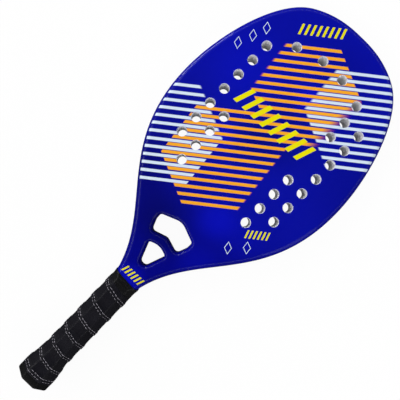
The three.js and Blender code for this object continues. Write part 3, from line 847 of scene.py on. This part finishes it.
# The print, in stripe millimetres: u runs along the stripes and v across them. Each block is a
# list of lines with the distance over which the stripes fade there
ORANGE_BLOCKS = [
    [
        (right_of(107.3, 253.6, 0.592), 0.4),
        (right_of(107.3, 253.6, -0.535), 0.4),
        (left_of(194.6, 204.0, 0.616), 1.1),
        *rows_from(202, 309),
    ],
    [
        (right_of(192.3, 329.7, 0.613), 1.6),
        (right_of(197.4, 320.7, -0.567), 0.4),
        (left_of(307.6, 330.1, -0.532), 0.4),
        (left_of(300.0, 322.0, 0.85), 6),
        *rows_from(276, 381),
    ],
]
PALE_BLOCKS = [
    [
        (left_of(168.4, 274.6, -0.561), 1.2),
        (left_of(168.0, 272.0, 0.62), 0.4),
        *rows_from(221, 328),
    ],
    [
        (right_of(257.1, 325.4, 0.639), 1.5),
        (right_of(253.5, 309.2, -0.493), 1.0),
        *rows_from(256, 360.5),
    ],
]
# Rows of stripes: the first one's v, the pitch and the thickness
ORANGE_ROWS = (204.1, 8.32, 3.3)
PALE_ROWS = [(224.3, 8.38, 3.1), (259.3, 8.2, 3.1)]
STRIPE_FADE = 0.2
# Pale stripes end on the rolled edge, between these heights over the parting plane
PALE_ENDS = (9.3, 9.9)

# The ground turns from throat blue to head blue between these distances from the butt
GROUND_TURNS = (180, 330)
# Soft spots in the blue, each partly a printed gradient and partly painted light: the glows are painted
# reflections of the lamps in the lacquer, and the shades are painted shade. Each spot: across, from the
# butt, reach, strength
PRINT_AND_REFLECTION_GLOWS = [
    (8, 413, 26, 0.6),
    (-31, 324, 24, 0.36),
    (24, 256, 34, 0.36),
    (54, 264, 40, 0.14),
    (-66, 392, 62, 0.22),
    (42, 208, 36, 0.16),
    (0, 146, 26, 0.4),
]
# Painted shade, partly a printed gradient: darker spots in the blue
PRINT_AND_SHADE_SPOTS = [
    (-24, 218, 50, 0.5),
    (-70, 246, 52, 0.48),
    (-88, 302, 64, 0.28),
    (0, 206, 34, 0.4),
    (6, 366, 62, 0.42),
    (-8, 336, 40, 0.3),
    (118, 390, 110, 0.22),
    (12, 452, 52, 0.18),
]

# Plain slanted bars: low corner in across and from the butt, angle, length, height, count
BARS = [
    ((-51.5, 358.2), 0, 92.0, 21.6, 8),
    ((-49.9, 453.5), STRIPE_DEGREES, 47.0, 11.2, 8),
    ((57.4, 261.9), STRIPE_DEGREES, 24.0, 8.6, 6),
    ((-12.0, 149.6), 0, 23.6, 8.0, 6),
]
BAR_LEAN = 0.35
BAR_SHARE = 0.42
BAR_FADE = 0.3
# Plain outlined lozenges: across, from the butt
LOZENGES = [(-88.5, 403.9), (-82.4, 420.1), (-77.3, 435.7), (52.6, 242.8), (66.8, 256.5)]
LOZENGE_SLOPE = 0.6
LOZENGE_REACH = 3.2
LOZENGE_LINE = 0.6


def block_mask(tree, flat, lines):
    """One inside a block whose edges are lines, each with the distance over which it fades."""
    value = 1
    for line, fade in lines:
        distance = add_node(tree, "VectorMath", [flat, line], operation="DOT_PRODUCT")
        edge = add_node(tree, "MapRange", [distance, -fade, fade], interpolation_type="SMOOTHSTEP")
        value = add_node(tree, "Math", [edge, value], operation="MINIMUM")
    return value


def row_mask(tree, flat, line, pitch, thickness):
    """Stripes of one thickness, on a line and at every pitch to either side of it."""
    distance = add_node(tree, "VectorMath", [flat, line], operation="DOT_PRODUCT")
    folded = add_node(tree, "Math", [distance, pitch / 2], operation="PINGPONG")
    return add_node(tree, "MapRange", [folded, thickness / 2 + STRIPE_FADE, thickness / 2 - STRIPE_FADE])


def lozenge_mask(tree, flat, x, y):
    """The outline of a small lozenge standing across the stripes."""
    reaches = []
    for slope in (LOZENGE_SLOPE, -LOZENGE_SLOPE):
        size = math.hypot(1, slope)
        line = through(turned_line(1 / size, slope / size), x, y)
        distance = add_node(tree, "VectorMath", [flat, line], operation="DOT_PRODUCT")
        reaches.append(add_node(tree, "Math", [distance], operation="ABSOLUTE"))
    reach = add_node(tree, "Math", reaches, operation="MAXIMUM")
    return add_node(tree, "Math", [reach, LOZENGE_REACH, LOZENGE_LINE / 2], operation="COMPARE")


def bar_mask(tree, flat, corner, degrees, length, height, count):
    """A row of slanted bars."""
    along = through(turned_line(1, -BAR_LEAN, degrees=degrees), *corner)
    upward = through(turned_line(0, 1, degrees=degrees), *corner)
    pitch = length / (count - 1 + BAR_SHARE)
    middle = (along[0], along[1], along[2] - pitch * BAR_SHARE / 2)
    edges = [(line, BAR_FADE) for line in band(along, length) + band(upward, height)]
    within = block_mask(tree, flat, edges)
    bars = row_mask(tree, flat, middle, pitch, pitch * BAR_SHARE)
    return add_node(tree, "Math", [within, bars], operation="MULTIPLY")


def ink_layers(tree, parts, look):
    """Layers of ink and of painted light from the ground up, each as where it lies and its colour; the glow
    spots are painted reflections and the shade spots are painted shade, each partly a printed gradient.
    """
    flat = add_node(tree, "CombineXYZ", [parts.outputs["X"], parts.outputs["Y"], 1])
    turning = [parts.outputs["Y"], *GROUND_TURNS]
    turns = add_node(tree, "MapRange", turning, interpolation_type="SMOOTHSTEP")
    layers = [(turns, look.head_blue)]
    # Spots of painted light in the blue, partly a printed gradient: glows as painted reflections of the
    # lamps, shades as painted shade
    for tint, spots in ((look.print_and_reflection_blue, PRINT_AND_REFLECTION_GLOWS), (look.print_and_shade_blue, PRINT_AND_SHADE_SPOTS)):
        for x, y, reach, strength in spots:
            gap = add_node(tree, "VectorMath", [flat, (x, y, 1)], operation="DISTANCE")
            fading = [gap, reach, 0, 0, strength]
            layers.append((add_node(tree, "MapRange", fading, interpolation_type="SMOOTHERSTEP"), tint))

    def rows_in(block, first, pitch, thickness):
        rows = row_mask(tree, flat, turned_line(0, 1, -first), pitch, thickness)
        return add_node(tree, "Math", [block, rows], operation="MULTIPLY")

    # Orange stripes, their far tips turning red as they fade out
    masks = [block_mask(tree, flat, lines) for lines in ORANGE_BLOCKS]
    either = add_node(tree, "Math", masks, operation="MAXIMUM")
    inks = {"Factor": either, "A": look.stripe_red, "B": look.stripe_orange}
    warmth = add_node(tree, "Mix", inks, data_type="RGBA")
    layers.append((rows_in(either, *ORANGE_ROWS), warmth))

    # Pale stripes run off the sides, and stop a little way down the rolled edge
    height = add_node(tree, "Math", [parts.outputs["Z"]], operation="ABSOLUTE")
    on_face = add_node(tree, "MapRange", [height, *PALE_ENDS])
    for lines, rows in zip(PALE_BLOCKS, PALE_ROWS):
        striped = rows_in(block_mask(tree, flat, lines), *rows)
        shown = add_node(tree, "Math", [striped, on_face], operation="MULTIPLY")
        layers.append((shown, look.stripe_pale))

    # Rows of plain slanted bars, and small plain lozenges in outline
    layers += [(bar_mask(tree, flat, *bars), look.bar_yellow) for bars in BARS]
    layers += [(lozenge_mask(tree, flat, x, y), look.stripe_pale) for x, y in LOZENGES]
    return layers


@material_named("Lacquered fibre laminate, printed")
def lacquered_laminate(tree, place):
    """Fibre laminate, screen printed and clear lacquered: deep even colour under a wet gloss, with spots of
    painted reflection and painted shade in its blue.
    """
    look = bpy.context.scene.racket_laminate
    # Millimetres across, from the butt and from the parting plane, as the print was measured
    moved = [place, (0, RACKET_LENGTH / 2, -MID_HEIGHT)]
    parts = add_node(tree, "SeparateXYZ", [add_node(tree, "VectorMath", moved, operation="ADD")])
    ground = look.throat_blue
    # The layers include spots of painted reflection and painted shade in the blue
    for mask, ink in ink_layers(tree, parts, look):
        ground = add_node(tree, "Mix", {"Factor": mask, "A": ground, "B": ink}, data_type="RGBA")
    # The lacquer's orange peel has waves of about 3 mm
    peel = add_node(tree, "TexNoise", {"Vector": place, "Scale": 0.35, "Detail": 2})
    bump = add_node(tree, "Bump", {"Height": peel, "Strength": 0.02, "Distance": 0.001})
    lacquer = {"Coat Weight": 0.45, "Coat Roughness": 0.05, "Coat IOR": 1.4, "Coat Normal": bump}
    ink = {"Base Color": ground, "Roughness": 0.5, "IOR": 1.5, "Specular IOR Level": 0.0}
    return add_node(tree, "BsdfPrincipled", {**ink, **lacquer})


@material_named("Cut laminate edge, drilled")
def cut_laminate_edge(tree, place):
    """Laminate cut by a drill: pale dry glass fibres in resin, so a milky lavender ring."""
    # Fibre plies are about 0.2 mm thick
    plies = add_node(tree, "TexNoise", {"Vector": place, "Scale": 4.5, "Detail": 3})
    surface = {"Roughness": 0.6, "IOR": 1.52}
    return grained(tree, plies, ("#cfcef2", "#f2f2ff"), (0.3, 0.0001), surface)


@material_named("EVA foam, drilled")
def drilled_eva_foam(tree, place):
    """EVA foam, drilled: matt off-white with tiny cells cut open, so light sinks in softly."""
    # Real cells are 0.1 to 0.3 mm; drawn at 0.6 mm so that they show
    cells = add_node(tree, "TexVoronoi", {"Vector": place, "Scale": 1.7})
    depth = {"Subsurface Weight": 1, "Subsurface Radius": (1, 1, 1), "Subsurface Scale": 0.006}
    surface = {"Roughness": 0.85, "IOR": 1.48, **depth}
    return grained(tree, cells, ("#ffffff", "#eeeef2"), (0.5, 0.0003), surface, invert=True)


@material_named("Twill fibre, cured")
def twill_fibre(tree, place):
    """Carbon and glass twill, cured bare: dark satin with a slanting weave of 2 mm tows."""
    # Tows are about 2 mm wide: one light and dark pair every 4.5 mm on the slant
    pattern = {"Vector": place, "Scale": 0.08, "Distortion": 0.4, "Detail": 1}
    weave = add_node(tree, "TexWave", pattern, bands_direction="DIAGONAL").outputs[1]
    surface = {"Roughness": 0.45, "IOR": 1.55}
    return grained(tree, weave, ("#232529", "#43464c"), (0.3, 0.0002), surface)


@material_named("Polyurethane foam, moulded")
def pallet_foam(tree, place):
    """Rigid polyurethane foam, moulded: dull dark grey with a closed, faintly pitted skin."""
    # Cells of about 0.8 mm under the skin
    cells = add_node(tree, "TexVoronoi", {"Vector": place, "Scale": 1.2})
    return grained(tree, cells, ("#5f6164", "#3f4043"), (0.4, 0.0003), {"Roughness": 0.9, "IOR": 1.5})


@material_named("Thermoplastic rubber, moulded")
def moulded_cap(tree, place):
    """Black TPU, injection moulded on a spark-eroded die: soft sheen over a fine grain."""
    # Die grain is near 0.1 mm; drawn at 0.4 mm so that it shows
    grain = add_node(tree, "TexNoise", {"Vector": place, "Scale": 2.5, "Detail": 4})
    surface = {"Roughness": 0.5, "IOR": 1.5, "Specular IOR Level": 0.14}
    return grained(tree, grain, ("#050506", "#0b0b0c"), (0.25, 0.0002), surface)


@material_named("Polyurethane leather, embossed")
def embossed_wrap(tree, place):
    """Polyurethane leather, embossed: near black, soft satin, with a fine pebble grain."""
    look = bpy.context.scene.racket_grip
    # Pebbles of the emboss are about 0.7 mm across
    pattern = {"Vector": place, "Scale": 1.4, "Randomness": 0.9}
    pebbles = add_node(tree, "TexVoronoi", pattern, feature="SMOOTH_F1")
    # Handling leaves patches about 17 mm wide, slightly greyer, with roughness from 0.4 to 0.58
    patches = add_node(tree, "TexNoise", {"Vector": place, "Scale": 0.06, "Detail": 3})
    dull = add_node(tree, "MapRange", [patches, 0.3, 0.7, 0.4, 0.58])
    colours = (look.wrap_dark, look.wrap_light)
    surface = {"Roughness": dull, "IOR": 1.5, "Specular IOR Level": 0.2}
    return grained(tree, patches, colours, (0.35, 0.0002), surface, pebbles, invert=True)


@material_named("Polyester thread, twisted")
def polyester_thread(tree, place):
    """Polyester sewing thread, twisted: pale lilac grey with a light silky shine."""
    # The twist repeats every 0.6 mm; drawn at 1 mm so that it shows
    pattern = {"Vector": place, "Scale": 0.35, "Distortion": 1.5}
    twist = add_node(tree, "TexWave", pattern, bands_direction="DIAGONAL").outputs[1]
    surface = {"Roughness": 0.5, "IOR": 1.53, "Sheen Weight": 0.3}
    return grained(tree, twist, ("#77737d", "#b4b0ba"), (0.4, 0.0001), surface)


@material_named("Vinyl tape, calendered")
def vinyl_tape(tree, place):
    """Soft PVC tape, calendered: smooth black that stretches into faint lengthwise ripples."""
    # Stretch ripples lie about 2 mm apart along the handle and 8 mm apart round it
    stretched = add_node(tree, "VectorMath", [place, (0.25, 1, 0.25)], operation="MULTIPLY")
    ripples = add_node(tree, "TexNoise", {"Vector": stretched, "Scale": 0.5, "Detail": 2})
    surface = {"Roughness": 0.36, "IOR": 1.53, "Specular IOR Level": 0.22}
    return grained(tree, ripples, ("#050506", "#0c0c0e"), (0.5, 0.0006), surface)


@material_named("Painted board, matt")
def studio_floor(tree, place):
    """White board, matt painted: even white that still takes the racket's shadow."""
    seen = add_node(tree, "LightPath").outputs["Is Camera Ray"]
    # The roller leaves shades of white about 50 mm apart
    paint = add_node(tree, "TexNoise", {"Vector": place, "Scale": 0.02, "Detail": 2})
    tint = add_node(tree, "Mix", {"Factor": paint, "A": "#fafafa", "B": "#ffffff"}, data_type="RGBA")
    # Only the camera sees white paint, most of it glowing by itself so that the shadow stays pale;
    # the racket mirrors and catches a darker grey from below
    shown = add_node(tree, "Mix", {"Factor": seen, "A": "#6e6e70", "B": tint}, data_type="RGBA")
    board = add_node(tree, "BsdfDiffuse", [shown, 0.5])
    white = add_node(tree, "Emission", [(1, 1, 1), 1])
    share = add_node(tree, "Math", [seen, FLOOR_GLOW], operation="MULTIPLY")
    return add_node(tree, "MixShader", [share, board, white])


# Stage: floor, world, lamps and camera, in metres
FLOOR_HALF = 3.0
FLOOR_GAP = 0.0003
FLOOR_GLOW = 0.95
# The racket lies on the butt's flare and the head: each as its Y and the floor's height there
RESTS = [(-0.2417, 0.0), (0.243, 0.0074)]
CAMERA_PLACE = (-0.003, 0.0085)
SENSOR_WIDTH = 36
# Lamps: place and size, all aimed at one point of the racket
KEY_STRIP = ((-1.1, 0.46, 0.316), (0.5, 0.16))
FILL_STRIP = ((1.1, -0.1, 0.7), (0.5, 1.2))
TOP_PANEL = ((0, 0, 1.6), (1.2, 1.2))
AIM = (0, 0, 0.02)

# World: two upward parts of a direction, then the strengths that the light fades between there;
# a ring of panels by its height and half-width; and the brighter side with its own fade
LOW_GLOW = (0.2, 0.45, 0.25, 0.9)
OVERHEAD_SHADE = (0.68, 0.86, 1, 0.15)
PANEL_RING = (0.56, 0.015)
PANEL_STRENGTH = 10
BRIGHT_SIDE = (-0.72, -0.69, 0)
SIDE_SHARES = (-0.4, 0.6, 0.45, 1.1)


def tilted_floor():
    """A floor under the butt flare and the head, on which the racket rests slightly nose down."""
    (foot_y, foot_z), (head_y, head_z) = RESTS
    slope = (head_z - foot_z) / (head_y - foot_y)
    shape = Shape()
    corners = [(-FLOOR_HALF, -FLOOR_HALF), (FLOOR_HALF, -FLOOR_HALF)]
    corners += [(-x, -y) for x, y in corners]
    shape.points = [(x, y, foot_z + slope * (y - foot_y) - FLOOR_GAP) for x, y in corners]
    shape.add([range(4)])
    floor = shape.made("studio_floor", [studio_floor()], sharp_degrees=35)
    return floor


def studio_world():
    """Dark low down and overhead, pale between, with a narrow ring of brighter panels."""
    world = bpy.data.worlds.new("studio")
    bpy.context.scene.world = world
    world.use_nodes = True
    tree = world.node_tree
    tree.nodes.clear()
    facing = add_node(tree, "TexCoord").outputs["Generated"]
    upward = add_node(tree, "SeparateXYZ", [facing]).outputs["Z"]
    low = add_node(tree, "MapRange", [upward, *LOW_GLOW], interpolation_type="SMOOTHSTEP")
    overhead = add_node(tree, "MapRange", [upward, *OVERHEAD_SHADE], interpolation_type="SMOOTHSTEP")
    pale = add_node(tree, "Math", [low, overhead], operation="MULTIPLY")
    ring = add_node(tree, "Math", [upward, *PANEL_RING], operation="COMPARE")
    panels = add_node(tree, "Math", [ring, PANEL_STRENGTH, pale], operation="MULTIPLY_ADD")
    # It is all brighter on the side that the photograph's left edge mirrors
    leftward = add_node(tree, "VectorMath", [facing, BRIGHT_SIDE], operation="DOT_PRODUCT")
    share = add_node(tree, "MapRange", [leftward, *SIDE_SHARES], interpolation_type="SMOOTHSTEP")
    glow = add_node(tree, "Math", [panels, share], operation="MULTIPLY")
    # The camera sees plain white behind the floor
    seen = add_node(tree, "LightPath").outputs["Is Camera Ray"]
    strength = add_node(tree, "Mix", {"Factor": seen, "A": glow, "B": 1.0})
    add_node(tree, "OutputWorld", [add_node(tree, "Background", [(1, 1, 1), strength])])


def softbox(name, place, size, power):
    """A flat lamp turned to face the racket."""
    lamp = bpy.data.lights.new(name, "AREA")
    lamp.shape = "RECTANGLE"
    lamp.size, lamp.size_y = size
    lamp.energy = power
    holder = linked(name, lamp)
    holder.location = place
    holder.rotation_euler = (Vector(AIM) - Vector(place)).to_track_quat("-Z", "Y").to_euler()
    return holder


def photo_camera(settings):
    lens = bpy.data.cameras.new("photo_camera")
    lens.lens = settings.lens
    lens.sensor_width = SENSOR_WIDTH
    lens.clip_start = 0.01
    holder = linked("photo_camera", lens)
    holder.location = (*CAMERA_PLACE, settings.camera_height)
    holder.rotation_euler = (0, 0, settings.camera_turn)
    bpy.context.scene.camera = holder
    return holder


# Settings


def metres(name, description, default):
    return FloatProperty(name=name, description=description, default=default, unit="LENGTH")


def whole_number(name, description, default):
    return IntProperty(name=name, description=description, default=default)


def watts(name, default):
    return FloatProperty(name=name, description="Power in watts", default=default)


def colour(name, description, code):
    return FloatVectorProperty(name=name, description=description, default=linear(code), subtype="COLOR")


class LaminateSettings(bpy.types.PropertyGroup):
    hole_diameter: metres("Hole diameter", "Drilled holes", 0.0105)
    hole_lip: metres("Hole lip", "Countersink of each hole", 0.0002)
    hole_steps: whole_number("Hole sides", "Facets round a hole", 48)
    rim_steps: whole_number("Rim steps", "Facets across a rolled edge", 8)
    head_blue: colour("Head blue", "Ground colour of the head", "#080f9f")
    throat_blue: colour("Throat blue", "Ground colour of the throat", "#02047f")
    # The glow blue paints reflections of the lamps and the shade blue paints shade, each partly a printed
    # gradient
    print_and_reflection_blue: colour("Glow blue", "Brighter spots of the ground", "#0812e0")
    print_and_shade_blue: colour("Shade blue", "Darker spots of the ground", "#030540")
    stripe_orange: colour("Stripe orange", "Middle stripes", "#f8a92c")
    stripe_red: colour("Stripe red", "Fading tips of the middle stripes", "#c8304e")
    stripe_pale: colour("Stripe pale", "Side stripes and lozenges", "#d6e5f6")
    bar_yellow: colour("Bar yellow", "Slanted bars", "#ebe10a")


class GripSettings(bpy.types.PropertyGroup):
    start_turn: whole_number("Turns", "Turns of the strip from the butt to the top seam", 8)
    wrap_thickness: metres("Strip thickness", "Wound strip", 0.0015)
    lap_rise: metres("Lap rise", "Extra height of a lap", 0.0007)
    turn_length: metres("Turn length", "Way round the wrap", 0.1)
    stitch_pitch: metres("Stitch pitch", "One stitch and its gap", 0.004)
    thread_diameter: metres("Thread diameter", "Sewing thread", 0.00055)
    wrap_dark: colour("Wrap dark", "Darker patches of the strip", "#06050c")
    wrap_light: colour("Wrap light", "Lighter patches of the strip", "#0b0a15")


class StageSettings(bpy.types.PropertyGroup):
    camera_height: metres("Camera height", "Above the ground", 0.4474)
    camera_turn: FloatProperty(
        name="Camera turn", description="Turn about the upright", default=math.radians(44), subtype="ANGLE"
    )
    lens: FloatProperty(name="Lens", description="Focal length in millimetres", default=36.14)
    key_power: watts("Key lamp", 5)
    fill_power: watts("Fill lamp", 1.5)
    panel_power: watts("Top panel", 6.3)


# Operators


class RACKET_OT_laminate(bpy.types.Operator):
    """Builds the printed and lacquered laminate of both faces"""

    bl_idname = "racket.laminate"
    bl_label = "Laminate shells"

    def execute(self, context):
        settings = context.scene.racket_laminate
        front = laminate_shell(settings, True)
        keep_piece(front, "lacquered_laminate", "front_skin", "front_throat_skin")
        back = laminate_shell(settings, False)
        keep_piece(back, "lacquered_laminate", "back_skin", "back_throat_skin")
        return {"FINISHED"}


class RACKET_OT_core(bpy.types.Operator):
    """Builds the drilled foam core and finishes the other inner pieces"""

    bl_idname = "racket.core"
    bl_label = "Core and inner pieces"

    def execute(self, context):
        core = foam_core(context.scene.racket_laminate)
        keep_piece(core, "eva_foam", "foam_core")
        finishes = {
            "frame_tube": twill_fibre(),
            "head_bridge": twill_fibre(),
            "throat_insert": drilled_eva_foam(),
            "leg_spacer": drilled_eva_foam(),
            "front_pallet": pallet_foam(),
            "back_pallet": pallet_foam(),
        }
        for name, material in finishes.items():
            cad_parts[name].material_slots[0].material = material
        return {"FINISHED"}


class RACKET_OT_cap(bpy.types.Operator):
    """Builds the moulded butt cap"""

    bl_idname = "racket.cap"
    bl_label = "Butt cap"

    def execute(self, context):
        keep_piece(butt_cap(), "moulded_cap", "butt_cap")
        return {"FINISHED"}


class RACKET_OT_wrap(bpy.types.Operator):
    """Winds the grip strip with its laps"""

    bl_idname = "racket.wrap"
    bl_label = "Grip wrap"

    def execute(self, context):
        keep_piece(grip_wrap(context.scene.racket_grip), "stitched_wrap", "grip_wrap")
        return {"FINISHED"}


class RACKET_OT_stitching(bpy.types.Operator):
    """Sews two rows of stitches along each lap"""

    bl_idname = "racket.stitching"
    bl_label = "Lap stitching"

    def execute(self, context):
        keep_piece(stitching(context.scene.racket_grip), "stitched_wrap")
        return {"FINISHED"}


class RACKET_OT_tape(bpy.types.Operator):
    """Closes the top of the wrap with finishing tape"""

    bl_idname = "racket.tape"
    bl_label = "Finishing tape"

    def execute(self, context):
        keep_piece(finishing_tape(), "vinyl_tape", "finishing_tape")
        return {"FINISHED"}


class RACKET_OT_stage(bpy.types.Operator):
    """Sets the floor, the light and the camera"""

    bl_idname = "racket.stage"
    bl_label = "Stage"

    def execute(self, context):
        settings = context.scene.racket_stage
        photo_camera(settings)
        tilted_floor()
        studio_world()
        softbox("key_strip", *KEY_STRIP, settings.key_power)
        softbox("fill_strip", *FILL_STRIP, settings.fill_power)
        # Cross-polarised: it lights the colours and the holes, but no gloss mirrors it
        panel = softbox("top_panel", *TOP_PANEL, settings.panel_power)
        panel.visible_glossy = False
        context.scene.view_settings.view_transform = "Standard"
        return {"FINISHED"}


class RACKET_PT_panel(bpy.types.Panel):
    bl_idname = "RACKET_PT_panel"
    bl_label = "Racket"
    bl_space_type = "VIEW_3D"
    bl_region_type = "UI"
    bl_category = "Racket"

    def draw(self, context):
        for name in SETTINGS:
            group = getattr(context.scene, name)
            box = self.layout.box()
            for size in group.__annotations__:
                box.prop(group, size)
        for operator in OPERATORS:
            self.layout.operator(operator.bl_idname)


SETTINGS = {
    "racket_laminate": LaminateSettings,
    "racket_grip": GripSettings,
    "racket_stage": StageSettings,
}
OPERATORS = (
    RACKET_OT_laminate,
    RACKET_OT_core,
    RACKET_OT_cap,
    RACKET_OT_wrap,
    RACKET_OT_stitching,
    RACKET_OT_tape,
    RACKET_OT_stage,
)


def register():
    for name, group in SETTINGS.items():
        bpy.utils.register_class(group)
        setattr(bpy.types.Scene, name, PointerProperty(type=group))
    for shown in (*OPERATORS, RACKET_PT_panel):
        bpy.utils.register_class(shown)


def unregister():
    for shown in (RACKET_PT_panel, *reversed(OPERATORS)):
        bpy.utils.unregister_class(shown)
    for name, group in SETTINGS.items():
        delattr(bpy.types.Scene, name)
        bpy.utils.unregister_class(group)


def main():
    register()
    bpy.ops.racket.laminate()
    bpy.ops.racket.core()
    bpy.ops.racket.cap()
    bpy.ops.racket.wrap()
    bpy.ops.racket.stitching()
    bpy.ops.racket.tape()
    bpy.ops.racket.stage()


if __name__ == "__main__":
    main()
